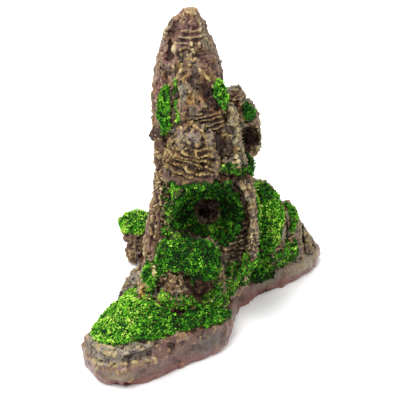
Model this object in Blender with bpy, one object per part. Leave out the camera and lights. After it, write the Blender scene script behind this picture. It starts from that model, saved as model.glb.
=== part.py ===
"""Resin cave ornament for an aquarium: cast rocks glued into a peak over a hollow base, dressed with turf pads.

The object faces -Y. Level tables and outlines are in millimetres from the peak's own datum, and the whole
assembly is centred over its footprint at the end. Run with: blender --background --python part.py
"""

import math

import bmesh
import bpy
from mathutils import Matrix, Vector, noise

# Overall sizes, in metres.
PEAK_HEIGHT = 0.150
FOOTPRINT_WIDTH = 0.118
FOOTPRINT_DEPTH = 0.126

# Casting and gluing.
GLUE_LINE = 0.0003
TURF_THICKNESS = 0.0022
CRAG_RELIEF = 0.0011
FIN_RELIEF = 0.0005
BORE_RELIEF = 0.0002
ROCK_GRAIN = 0.011
HOLLOW_GRAIN = 0.006

# Hollows.
CHAMBER_WIDTH = 0.034
CHAMBER_DEPTH = 0.030
CHAMBER_HEIGHT = 0.064
GROTTO_WIDTH = 0.036
GROTTO_HEIGHT = 0.037
GROTTO_DEPTH = 0.032
MOUTH_WIDTH = 0.013
MOUTH_HEIGHT = 0.015
MOUTH_LENGTH = 0.030
POCKET_LENGTH = 0.048
POCKET_WIDTH = 0.036
POCKET_HEIGHT = 0.022
BURROW_BORE = 0.0074
BURROW_DEPTH = 0.042
ALCOVE_WIDTH = 0.017
ALCOVE_DEPTH = 0.018
ALCOVE_HEIGHT = 0.013
HOLLOW_WIDTH = 0.013
HOLLOW_DEPTH = 0.020
HOLLOW_HEIGHT = 0.015

# The sizes that the tables below were drawn at: a table stretches with the sizes above.
DRAWN_HEIGHT = 150
DRAWN_WIDTH = 118
DRAWN_DEPTH = 126

# How finely a rock is lofted: points around, and millimetres between rings.
SIDES = 18
RING_STEP = 5
# 2 would make each level an ellipse, and more squares its corners.
ROCK_SQUARENESS = 2.6

RESIN_BROWN = (0.27, 0.17, 0.13)
RESIN_UMBER = (0.20, 0.13, 0.08)
RESIN_GREY = (0.27, 0.24, 0.21)
RESIN_TAN = (0.42, 0.30, 0.15)
TURF_GREEN = (0.07, 0.30, 0.02)


def clear_scene():
    for item in list(bpy.data.objects):
        bpy.data.objects.remove(item)


def new_collection(name):
    made = bpy.data.collections.new(name)
    bpy.context.scene.collection.children.link(made)
    return made


clear_scene()
PARTS = new_collection("resin_cave_ornament")
CUTTERS = new_collection("cutters")


def stretched(x, y, z):
    """A point of the tables, in millimetres, as metres in the sizes that were asked for."""
    return Vector((
        x * FOOTPRINT_WIDTH / DRAWN_WIDTH,
        y * FOOTPRINT_DEPTH / DRAWN_DEPTH,
        z * PEAK_HEIGHT / DRAWN_HEIGHT,
    ))


def paint(name, colour, roughness):
    made = bpy.data.materials.new(name)
    made.use_nodes = True
    shader = made.node_tree.nodes["Principled BSDF"]
    shader.inputs["Base Color"].default_value = (*colour, 1)
    shader.inputs["Roughness"].default_value = roughness
    shader.inputs["Metallic"].default_value = 0
    return made


BROWN_RESIN = paint("brown_resin", RESIN_BROWN, 0.55)
UMBER_RESIN = paint("umber_resin", RESIN_UMBER, 0.55)
GREY_RESIN = paint("grey_resin", RESIN_GREY, 0.55)
TAN_RESIN = paint("tan_resin", RESIN_TAN, 0.55)
GREEN_TURF = paint("green_turf", TURF_GREEN, 0.95)


# --- Making, cutting and trimming ---------------------------------------------------------------------------


def add_object(name, mesh_source, collection, material=None):
    """An object from a bmesh. What is in CUTTERS is a helper and is left out of the part."""
    mesh = bpy.data.meshes.new(name)
    mesh_source.to_mesh(mesh)
    mesh_source.free()
    made = bpy.data.objects.new(name, mesh)
    collection.objects.link(made)
    if material:
        mesh.materials.append(material)
    if collection is CUTTERS:
        made.hide_render = True
        made.display_type = "WIRE"
    return made


def loft(rings):
    """A closed skin through rings of equally many points, bottom to top, with a capped end each."""
    skin = bmesh.new()
    loops = [[skin.verts.new(point) for point in ring] for ring in rings]
    for lower, upper in zip(loops, loops[1:]):
        for i in range(len(lower)):
            j = (i + 1) % len(lower)
            skin.faces.new((lower[i], lower[j], upper[j], upper[i]))
    skin.faces.new(list(reversed(loops[0])))
    skin.faces.new(loops[-1])
    bmesh.ops.triangulate(skin, faces=skin.faces)
    return skin


def roughen(skin, relief, grain, seed):
    """Pushes each point along its normal by a ridged noise, which breaks a smooth skin into crags."""
    skin.normal_update()
    offset = Vector((seed * 3.1, seed * 1.7, seed * 5.3))
    for point in skin.verts:
        here = point.co / grain + offset
        crag = noise.noise(here) + 0.5 * noise.noise(here * 2.1)
        point.co += point.normal * relief * crag


def swollen(helper, by):
    """A hidden copy of a helper whose skin stands out by the distance given, or in where it is negative."""
    skin = bmesh.new()
    skin.from_mesh(helper.data)
    skin.normal_update()
    for point in skin.verts:
        point.co += point.normal * by
    return add_object(helper.name + "_offset", skin, CUTTERS)


def boolean(piece, operation, other):
    """Applies one exact Boolean to a piece's mesh."""
    step = piece.modifiers.new(operation.lower(), "BOOLEAN")
    step.operation = operation
    step.solver = "EXACT"
    step.object = other
    bpy.context.view_layer.update()
    graph = bpy.context.evaluated_depsgraph_get()
    made = bpy.data.meshes.new_from_object(piece.evaluated_get(graph))
    piece.modifiers.remove(step)
    piece.data = made


def keep_largest_body(piece):
    """Trimming can leave chips beside the casting: only the casting is kept."""
    skin = bmesh.new()
    skin.from_mesh(piece.data)
    left = set(skin.verts)
    bodies = []
    while left:
        found = {left.pop()}
        edge = set(found)
        while edge:
            edge = {link.other_vert(v) for v in edge for link in v.link_edges} - found
            found |= edge
        left -= found
        bodies.append(found)
    bodies.sort(key=len)
    chips = [v for body in bodies[:-1] for v in body]
    bmesh.ops.delete(skin, geom=chips, context="VERTS")
    skin.to_mesh(piece.data)
    skin.free()


BLANKS = {}


def boxes_meet(first, second, margin):
    """Whether the bounding boxes of two helpers come within the margin of each other."""
    reach = []
    for helper in (first, second):
        corners = [point.co for point in helper.data.vertices]
        reach.append([(min(c[k] for c in corners), max(c[k] for c in corners)) for k in range(3)])
    return all(a[0] < b[1] + margin and b[0] < a[1] + margin for a, b in zip(*reach))


def ring_between(lower, upper, share):
    return tuple(a + (b - a) * share for a, b in zip(lower, upper))


def rock_rings(levels, turn):
    """Level outlines (z, west, east, south, north) filled in every RING_STEP, each as a ring of points.

    The turn, in degrees, is about the middle of the lowest level.
    """
    filled = []
    for lower, upper in zip(levels, levels[1:]):
        count = max(1, round((upper[0] - lower[0]) / RING_STEP))
        filled += [ring_between(lower, upper, i / count) for i in range(count)]
    filled.append(levels[-1])
    power = 2 / ROCK_SQUARENESS
    _, west, east, south, north = levels[0]
    middle = Vector(((west + east) / 2, (south + north) / 2))
    spin = Matrix.Rotation(math.radians(turn), 2)
    rings = []
    for z, west, east, south, north in filled:
        ring = []
        for i in range(SIDES):
            angle = 2 * math.pi * i / SIDES
            across = math.copysign(abs(math.cos(angle)) ** power, math.cos(angle))
            along = math.copysign(abs(math.sin(angle)) ** power, math.sin(angle))
            x = (west + east) / 2 + (east - west) / 2 * across
            y = (south + north) / 2 + (north - south) / 2 * along
            placed = middle + spin @ (Vector((x, y)) - middle)
            ring.append(stretched(*placed, z))
        rings.append(ring)
    return rings


def trimmed_to(piece, blank, neighbours, clearance):
    """Cuts a piece back to each neighbour that it would run into, leaving the clearance between them."""
    for neighbour in neighbours:
        if boxes_meet(blank, neighbour, clearance):
            boolean(piece, "DIFFERENCE", swollen(neighbour, clearance))
    keep_largest_body(piece)


def cast_rock(name, material, skin):
    """A casting from its untrimmed skin, ground to fit the rocks that are already in place."""
    blank = add_object(name + "_blank", skin, CUTTERS)
    copy = bmesh.new()
    copy.from_mesh(blank.data)
    piece = add_object(name, copy, PARTS, material)
    trimmed_to(piece, blank, list(BLANKS.values()), GLUE_LINE)
    BLANKS[name] = blank
    return piece


def rock(name, material, levels, seed, relief=CRAG_RELIEF, turn=0):
    """A rock lofted through its level outlines."""
    skin = loft(rock_rings(levels, turn))
    roughen(skin, relief, ROCK_GRAIN, seed)
    return cast_rock(name, material, skin)


def hollow(name, centre, size, seed, relief=FIN_RELIEF):
    """A rough egg-shaped cutter: centre in table millimetres, size in metres."""
    skin = bmesh.new()
    bmesh.ops.create_icosphere(skin, subdivisions=3, radius=0.5)
    bmesh.ops.scale(skin, vec=size, verts=skin.verts)
    bmesh.ops.translate(skin, vec=stretched(*centre), verts=skin.verts)
    roughen(skin, relief, HOLLOW_GRAIN, seed)
    return add_object(name, skin, CUTTERS)


def carve(piece, *cutters):
    for cutter in cutters:
        boolean(piece, "DIFFERENCE", cutter)
    keep_largest_body(piece)


def patch(centre, size):
    """The stretch of rock that a turf pad covers: an egg-shaped region, in table millimetres."""
    skin = bmesh.new()
    bmesh.ops.create_icosphere(skin, subdivisions=2, radius=0.5)
    bmesh.ops.scale(skin, vec=stretched(*size), verts=skin.verts)
    bmesh.ops.translate(skin, vec=stretched(*centre), verts=skin.verts)
    return add_object("patch", skin, CUTTERS)


def smooth_outline(points, between=2):
    """The closed outline again with points put in between, on a Catmull-Rom curve."""
    drawn = [Vector(p) for p in points]
    found = []
    for i in range(len(drawn)):
        a, b, c, d = (drawn[(i + k) % len(drawn)] for k in (-1, 0, 1, 2))
        for step in range(between):
            t = step / between
            found.append(
                0.5 * ((2 * b) + (c - a) * t + (2 * a - 5 * b + 4 * c - d) * t * t + (3 * b - a - 3 * c + d) * t ** 3)
            )
    return found


def plan_patch(outline, low, high):
    """The stretch of a flat-topped rock that a turf pad covers: a plan outline, raised from low to high."""
    rings = [[stretched(x, y, z) for x, y in smooth_outline(outline)] for z in (low, high)]
    return add_object("patch", loft(rings if is_anticlockwise(outline) else [ring[::-1] for ring in rings]), CUTTERS)


def is_anticlockwise(outline):
    pairs = zip(outline, (*outline[1:], outline[0]))
    return sum(a[0] * b[1] - b[0] * a[1] for a, b in pairs) > 0


def turf(name, on, regions, carved_by=()):
    """A pad of turf glued on a rock: the rock's skin, one turf thick, inside the regions.

    It keeps a turf's thickness from every other rock, so that it never meets that rock's own pad.
    """
    skin = bmesh.new()
    outer = swollen(BLANKS[on], GLUE_LINE + TURF_THICKNESS)
    skin.from_mesh(outer.data)
    piece = add_object(name, skin, PARTS, GREEN_TURF)
    cover = regions[0]
    for extra in regions[1:]:
        boolean(cover, "UNION", extra)
    boolean(piece, "INTERSECT", cover)
    boolean(piece, "DIFFERENCE", swollen(BLANKS[on], GLUE_LINE))
    for cutter in carved_by:
        boolean(piece, "DIFFERENCE", cutter)
    others = [blank for rock_name, blank in BLANKS.items() if rock_name != on]
    trimmed_to(piece, cover, others, 2 * GLUE_LINE + TURF_THICKNESS)
    return piece


def lining(name, on, cavity, regions, carved_by=()):
    """A pad of turf that lines a cavity in a rock."""
    skin = bmesh.new()
    skin.from_mesh(swollen(cavity, -GLUE_LINE).data)
    piece = add_object(name, skin, PARTS, GREEN_TURF)
    boolean(piece, "DIFFERENCE", swollen(cavity, -GLUE_LINE - TURF_THICKNESS))
    boolean(piece, "INTERSECT", swollen(BLANKS[on], -GLUE_LINE))
    for region in regions:
        boolean(piece, "INTERSECT", region)
    for cutter in carved_by:
        boolean(piece, "DIFFERENCE", cutter)
    others = [blank for rock_name, blank in BLANKS.items() if rock_name != on]
    trimmed_to(piece, cavity, others, 2 * GLUE_LINE + TURF_THICKNESS)
    return piece


# --- Base ---------------------------------------------------------------------------------------------------


BASE_HEART = (-3, 15)
BASE_CROWN = 23
BASE_OUTLINE = (
    (-54, -22.5, 12), (-53.5, -35, 16), (-47, -46, 18), (-35, -50.8, 19), (-18.5, -43.5, 19), (-7.5, -35, 18),
    (4, -28.5, 16), (12, -20.5, 13), (15.5, -6, 10), (20.5, 10, 8), (31.5, 20, 7), (46, 30, 7),
    (57, 40, 9), (62, 54, 9), (54, 69, 9), (30, 75.3, 9), (2, 75.3, 9), (-24, 72, 9),
    (-36, 63, 7), (-33, 50, 7), (-31.5, 36, 7), (-36.5, 22, 7), (-39.5, 9, 8), (-42, -3, 10), (-47.5, -12.5, 12),
)
# Each ring of the slab: its reach from the heart, its share of the rim's height, its share of the way to the crown.
SLAB_RINGS = (
    (0.975, 0.0, 0.0), (1.0, 0.35, 0.0), (1.0, 0.75, 0.0), (0.965, 1.0, 0.0),
    (0.85, 1.0, 0.2), (0.66, 1.0, 0.5), (0.45, 1.0, 0.8), (0.2, 1.0, 1.0),
)


def base_slab():
    """The foot casting: a slab that runs out in a tongue at the front and an arm at the right."""
    rim = smooth_outline(BASE_OUTLINE)
    heart_x, heart_y = BASE_HEART
    rings = []
    for reach, rim_share, crown_share in SLAB_RINGS:
        ring = []
        for x, y, height in rim:
            z = height * rim_share + (BASE_CROWN - height) * crown_share
            ring.append(stretched(heart_x + (x - heart_x) * reach, heart_y + (y - heart_y) * reach, z))
        rings.append(ring)
    skin = loft(rings)
    roughen(skin, CRAG_RELIEF, ROCK_GRAIN, seed=1)
    for point in skin.verts[:len(rim)]:
        point.co.z = 0
    return cast_rock("base_slab", BROWN_RESIN, skin)


# --- Rocks --------------------------------------------------------------------------------------------------
# Each level outline is (z, west, east, south, north).


MAIN_CRAG = (
    (12, -28, 24, -3, 52), (30, -28, 26, -2, 52), (45, -25.5, 27, 0, 50), (58, -23, 26, 1, 48),
    (70, -21.5, 24.5, 1, 46), (77, -21.5, 23, 1.5, 46), (80, -22, 20, 6, 45), (88, -22, 15, 8, 44),
    (96, -20, 12, 12, 42),
)
TALL_SPIRE = (
    (84, -22, 14, 12, 46), (100, -22.5, 13.2, 13, 45), (112, -22, 11.8, 14, 44), (120, -21.2, 10, 16, 43),
    (127, -19.8, 8.3, 17, 42), (134, -17, 6.8, 19, 40), (141, -15.7, 3.5, 21, 37), (146, -12.5, 0.7, 23, 35),
    (150, -7, -2, 26, 32),
)
MIDDLE_CRAG = (
    (84, -12, 15, 3, 24), (96, -9.5, 15, 3, 24), (106, -10.5, 14, 4.5, 24), (116, -11, 11, 7, 24),
    (124, -9.5, 7.5, 9, 24), (130, -7.5, 3, 12, 24), (133, -6, -1, 15, 22),
)
RIBBED_BOULDER = (
    (76, -14, 7, -1, 14), (80, -18, 10, -5, 14), (88, -18, 10.5, -6, 14), (97, -15, 8.5, -5, 13),
    (104, -11, 5.5, -2, 12), (107.5, -7, 2, 2, 10),
)
RIGHT_SHOULDER = (
    (81, 8, 21, 3, 24), (86, 6, 21, 1, 24), (92, 7, 19.5, 2, 24), (100, 8, 18, 4, 22),
    (107, 10, 17, 6, 20), (111, 12, 15, 9, 17),
)
RIGHT_FIN = (
    (28, 19, 23.5, -5, 12), (36, 21.5, 26, -6, 12), (44, 22.7, 27, -6, 12), (53, 23.2, 27.2, -5, 12),
    (62, 22.5, 26.5, -3, 12), (70, 20.5, 25.2, -1.5, 12), (78, 17, 23, 1, 12),
)
RIGHT_SLOPE = (
    (5, 10, 45, 20, 36), (12, 11, 43.5, 21, 36), (19, 11, 38, 23, 36), (26, 12, 33, 25, 35), (31, 14, 29, 28, 34),
)
BUTTRESS = (
    (14, -24, 13, -13, 8), (30, -22, 11.5, -13, 8), (40, -20.5, 10, -12, 8), (46, -18, 8.5, -9, 7),
    (49.5, -13, 5, -6, 5),
)
ALCOVE_ROCK = (
    (14, -19, -3, -18, -7), (26, -18, -4, -17.5, -7), (33, -16, -6, -15.5, -8), (37, -13.5, -8, -14, -9),
)
LEFT_STEP = (
    (8, -31, -16, -13, 8), (24, -29, -17, -12, 7), (33, -26.5, -18, -9, 5), (37, -24, -20, -6, 2),
)
SIDE_OUTCROP = (
    (69, 15, 20.5, 30, 42), (73, 13, 25, 26, 46), (80, 12, 28.5, 25, 48), (87, 11, 29.5, 25, 49),
    (93, 10, 28.5, 26, 49), (96.5, 10, 26, 27, 49), (100, 10, 21.5, 29.5, 46), (105, 10, 20.5, 31, 44),
    (109, 12, 19, 33, 42),
)
UPPER_TERRACE = (
    (14, 24, 44, 24, 58), (32, 23, 43, 26, 57), (44, 21, 39, 28, 56), (49, 19, 36.5, 30, 54),
    (52, 18, 32, 32, 51), (55, 17, 26, 34, 48),
)
LOWER_TERRACE = (
    (4, 34, 55, 33, 64), (16, 35, 53.5, 35, 63), (25, 36, 52, 37, 62), (31, 37, 50, 39, 60), (34, 39, 47.5, 42, 57),
)
CORNER_ROCK = (
    (3, 46, 61, 42, 63), (10, 47, 59.5, 43, 62), (16, 47, 57, 45, 60), (21, 48, 54.5, 47, 58),
)
LEFT_LEDGE = (
    (1.5, -38, -24, 46, 59), (7, -39.5, -24, 45, 59), (12, -37, -24, 46, 58), (17, -40, -24, 44, 59),
    (22, -41, -24, 44, 59), (25, -38, -25, 46, 57),
)
LEFT_LUMP = (
    (1.5, -39.5, -27, 6, 26), (8, -38.5, -26, 6, 26), (13, -35.5, -26, 8, 25), (17.5, -32, -26, 10, 22),
    (20, -30, -27, 12, 20),
)
REAR_STEP = (
    (4, -22, 20, 46, 70), (18, -20, 17, 46, 68), (28, -16, 12, 45, 64), (34, -12, 6, 46, 60),
)

chamber = hollow("chamber", (0, 27, 17), (CHAMBER_WIDTH, CHAMBER_DEPTH, CHAMBER_HEIGHT), seed=2)
front_pocket = hollow("front_pocket", (-18, -16, 0), (POCKET_LENGTH, POCKET_WIDTH, POCKET_HEIGHT), seed=3)
grotto = hollow("grotto", (4, 2, 59), (GROTTO_WIDTH, GROTTO_DEPTH, GROTTO_HEIGHT), seed=4)
cave_mouth = hollow("cave_mouth", (3.5, 20, 54), (MOUTH_WIDTH, MOUTH_LENGTH, MOUTH_HEIGHT), seed=5)
burrow = hollow("burrow", (-10, -20, 14), (BURROW_BORE, BURROW_BORE, BURROW_DEPTH), seed=6, relief=BORE_RELIEF)
alcove = hollow("alcove", (0, -13, 27), (ALCOVE_WIDTH, ALCOVE_DEPTH, ALCOVE_HEIGHT), seed=7)
outcrop_hollow = hollow("outcrop_hollow", (22, 27, 86), (HOLLOW_WIDTH, HOLLOW_DEPTH, HOLLOW_HEIGHT), seed=8)

carve(base_slab(), chamber, front_pocket, burrow)
carve(rock("main_crag", BROWN_RESIN, MAIN_CRAG, seed=11), chamber, grotto, cave_mouth)
rock("tall_spire", BROWN_RESIN, TALL_SPIRE, seed=12)
rock("middle_crag", UMBER_RESIN, MIDDLE_CRAG, seed=13)
rock("ribbed_boulder", UMBER_RESIN, RIBBED_BOULDER, seed=14)
rock("right_shoulder", TAN_RESIN, RIGHT_SHOULDER, seed=15)
rock("right_fin", TAN_RESIN, RIGHT_FIN, seed=16, relief=FIN_RELIEF)
rock("right_slope", TAN_RESIN, RIGHT_SLOPE, seed=27, turn=35)
carve(rock("buttress", BROWN_RESIN, BUTTRESS, seed=17), alcove)
rock("alcove_rock", TAN_RESIN, ALCOVE_ROCK, seed=18)
rock("left_step", TAN_RESIN, LEFT_STEP, seed=19)
carve(rock("side_outcrop", GREY_RESIN, SIDE_OUTCROP, seed=20), outcrop_hollow)
rock("upper_terrace", BROWN_RESIN, UPPER_TERRACE, seed=21)
rock("lower_terrace", TAN_RESIN, LOWER_TERRACE, seed=22)
rock("corner_rock", TAN_RESIN, CORNER_ROCK, seed=23)
rock("left_ledge", BROWN_RESIN, LEFT_LEDGE, seed=24)
rock("left_lump", GREY_RESIN, LEFT_LUMP, seed=25)
rock("rear_step", BROWN_RESIN, REAR_STEP, seed=26)


# --- Turf ---------------------------------------------------------------------------------------------------


turf(
    "tongue_turf", "base_slab",
    [plan_patch([(-50, -24), (-48, -36), (-38, -42), (-20, -39), (-8, -31.5), (5, -24), (12, -17),
                 (14, -7), (8, -12), (-14, -15), (-24, -10), (-30, 2), (-36, 6), (-42, -6)], 8, 30)],
    carved_by=[burrow],
)
turf("slope_turf", "right_slope", [patch((30, 15, 21), (44, 34, 34))])
turf("buttress_turf", "buttress", [patch((-5, -12, 43), (36, 26, 26))], carved_by=[alcove])
turf("step_turf", "left_step", [patch((-22, -8, 36), (12, 16, 18))])
turf("upper_terrace_turf", "upper_terrace", [patch((31, 30, 42), (22, 30, 46))])
turf("lower_terrace_turf", "lower_terrace", [patch((42, 42, 34), (16, 24, 20))])
turf("brow_turf", "main_crag", [patch((20, 14, 78), (20, 22, 12))])
turf("ledge_turf", "left_ledge", [patch((-34, 52, 26), (22, 24, 12))])
turf("spire_turf", "tall_spire", [patch((-15.5, 13, 109), (11, 12, 28))])
turf("crag_turf", "middle_crag", [patch((9, 10, 118), (9, 10, 18))])
turf("outcrop_turf", "side_outcrop", [patch((22.5, 31, 99), (8, 12, 11))])
turf("rear_turf", "rear_step", [patch((-2, 60, 30), (34, 22, 26))])
lining("grotto_turf", "main_crag", grotto, [patch((4, 8, 58), (46, 30, 42))], carved_by=[cave_mouth])


# --- Placing ------------------------------------------------------------------------------------------------


def centring_move(pieces):
    """What brings the middle of the footprint to the origin and the underside to z = 0."""
    corners = [point.co for piece in pieces for point in piece.data.vertices]
    low = Vector(min(corner[k] for corner in corners) for k in range(3))
    high = Vector(max(corner[k] for corner in corners) for k in range(3))
    return Vector((-(low.x + high.x) / 2, -(low.y + high.y) / 2, -low.z))


SHIFT = centring_move(PARTS.objects)
for placed in PARTS.objects:
    placed.data.transform(Matrix.Translation(SHIFT))
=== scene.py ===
"""Looks of a resin cave ornament for an aquarium: painted castings and green turf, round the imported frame.

Places inside the script are in millimetres in the frame's own axes: x to the right, y to the back, z up.
"""

import math

import bmesh
import bpy
import numpy as np
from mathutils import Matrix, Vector, noise
from mathutils.bvhtree import BVHTree


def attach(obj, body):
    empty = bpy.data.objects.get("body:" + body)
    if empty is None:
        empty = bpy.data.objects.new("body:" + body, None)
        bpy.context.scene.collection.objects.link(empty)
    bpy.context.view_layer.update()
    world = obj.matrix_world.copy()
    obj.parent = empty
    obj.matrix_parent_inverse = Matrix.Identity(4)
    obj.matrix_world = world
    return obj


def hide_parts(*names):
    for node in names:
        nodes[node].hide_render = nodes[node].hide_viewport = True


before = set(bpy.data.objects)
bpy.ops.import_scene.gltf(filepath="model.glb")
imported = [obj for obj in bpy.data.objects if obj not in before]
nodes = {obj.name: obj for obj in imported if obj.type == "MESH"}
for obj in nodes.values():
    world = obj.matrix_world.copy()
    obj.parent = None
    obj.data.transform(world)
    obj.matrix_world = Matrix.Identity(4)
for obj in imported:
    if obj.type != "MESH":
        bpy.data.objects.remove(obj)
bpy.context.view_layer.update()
MM = 0.001

# --------------------------------------------------------------------------------------------------
# Camera: a long lens, half a metre away, that looks down on the ornament from in front. It points at the
# middle of the rock.

AIM = Vector((-4.07, -12.92, 70)) * MM
CAMERA_DISTANCE = 0.520
CAMERA_LIFT = math.radians(32)
SENSOR_WIDTH = 36
FOCAL_LENGTH = 102.96

camera_data = bpy.data.cameras.new("camera")
camera_data.sensor_width = SENSOR_WIDTH
camera_data.lens = FOCAL_LENGTH
camera = bpy.data.objects.new("camera", camera_data)
bpy.context.scene.collection.objects.link(camera)
camera.location = AIM + CAMERA_DISTANCE * Vector((0, -math.cos(CAMERA_LIFT), math.sin(CAMERA_LIFT)))
camera.rotation_euler = (math.pi / 2 - CAMERA_LIFT, 0, 0)
bpy.context.scene.camera = camera

# --------------------------------------------------------------------------------------------------
# Foot casting: polyester resin poured in a rubber mould, sprayed mauve brown, washed dark, dry-brushed with
# ochre and varnished. Its wall is smoother and glossier than the rocks above, and has a shelf round the
# tongue's end.


def linear(colour):
    """An sRGB hex colour, such as "#7a5c4a", as linear red, green and blue."""
    parts = np.array([int(colour[i:i + 2], 16) / 255 for i in (1, 3, 5)])
    return np.where(parts <= 0.04045, parts / 12.92, ((parts + 0.055) / 1.055) ** 2.4)


def smooth(low, high, values):
    """0 at low, 1 at high, and an even curve between them."""
    share = np.clip((values - low) / (high - low), 0, 1)
    return share * share * (3 - 2 * share)


def along(points, path, width):
    """1 on a path through these places, falling to 0 at the width, in mm. One place alone makes a spot."""
    path = np.array(path, float)
    away = np.full(len(points), np.inf)
    for start, end in zip(path, path[1:] if len(path) > 1 else path):
        line = end - start
        share = np.clip((points - start) @ line / max(line @ line, 1e-9), 0, 1)
        away = np.minimum(away, np.linalg.norm(points - start - share[:, None] * line, axis=1))
    return 1 - smooth(0.15, 1.0, away / width)


def near(points, centre, radii):
    """1 in the middle of an egg-shaped zone, falling to 0 at its radii, in mm."""
    away = np.sqrt((((points - np.array(centre)) / np.array(radii)) ** 2).sum(axis=1))
    return 1 - smooth(0.35, 1.0, away)


# Blender seeds its vector noise from the clock, so a fixed seed keeps each run the same.
noise.seed_set(3)


def pattern(points, size, seed):
    """The points in a pattern's own units: its size is in mm, one number or one for each axis."""
    return (points / np.array(size) + 7.31 * seed).tolist()


def lumps(points, size, seed, octaves=3):
    """Rolling bumps, from about -1 to 1."""
    return np.array([noise.fractal(p, 1.0, 2.0, octaves) for p in pattern(points, size, seed)])


def bent(points, by, size, seed):
    """The points moved about by so many mm, which bends a pattern that is read at them."""
    return points + by * np.array([noise.noise_vector(p)[:] for p in pattern(points, size, seed)])


def crests(points, size, seed):
    """Sharp wandering crests, from about 0 between them to 1 on them."""
    return np.clip(np.array([noise.ridged_multi_fractal(p, 1.0, 2.1, 3, 1.0, 2.0)
                             for p in pattern(points, size, seed)]) / 2.2, 0, 1)


def veins(points, size, seed, thin=0.14):
    """1 on thin wandering lines, where two kinds of bump meet, and 0 away from them."""
    return 1 - smooth(0.0, thin, np.abs(lumps(points, size, seed, 2)))


def pores(points, size, seed, share):
    """1 in the middle of a round hole. The rock is split into cells, and this share of them have a hole."""
    found = []
    for p in pattern(points, size, seed):
        reach, seats = noise.voronoi(p)
        seat = seats[0]
        found.append((reach[0], (seat.x * 12.99 + seat.y * 78.23 + seat.z * 37.72) % 1))
    middle, number = np.array(found).T
    return (1 - smooth(0.12, 0.42, middle)) * (number < share)


def ribs(points, spacing, seed, wander=0.8, across=(0, 0, 1)):
    """Layers across a direction: 1 on a thin rib and 0 between two."""
    height = points @ np.array(across) + wander * lumps(points, 7, seed, 2)
    return 1 - np.abs(np.sin(math.pi * height / spacing))


def casting_mesh(name, fineness, ease):
    """A fine, even skin over a node's CAD solid, with its creases eased."""
    skin = bmesh.new()
    skin.from_mesh(nodes[name].data)
    bmesh.ops.remove_doubles(skin, verts=skin.verts, dist=1e-6)
    mesh = bpy.data.meshes.new(name + "_blank")
    skin.to_mesh(mesh)
    skin.free()
    blank = bpy.data.objects.new(name + "_blank", mesh)
    bpy.context.scene.collection.objects.link(blank)
    fine = blank.modifiers.new("fine", "REMESH")
    fine.mode = "VOXEL"
    fine.voxel_size = fineness * MM
    eased = blank.modifiers.new("ease", "SMOOTH")
    eased.iterations = ease
    bpy.context.view_layer.update()
    made = bpy.data.meshes.new_from_object(blank.evaluated_get(bpy.context.evaluated_depsgraph_get()))
    bpy.data.objects.remove(blank)
    return made


def read_points(mesh, kind="vertices", field="co"):
    """Three numbers for each vertex: its place, or its normal."""
    values = np.empty(len(mesh.vertices) * 3, np.float32)
    getattr(mesh, kind).foreach_get(field, values)
    return values.reshape(-1, 3).astype(float)


ROCKS = {}


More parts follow.
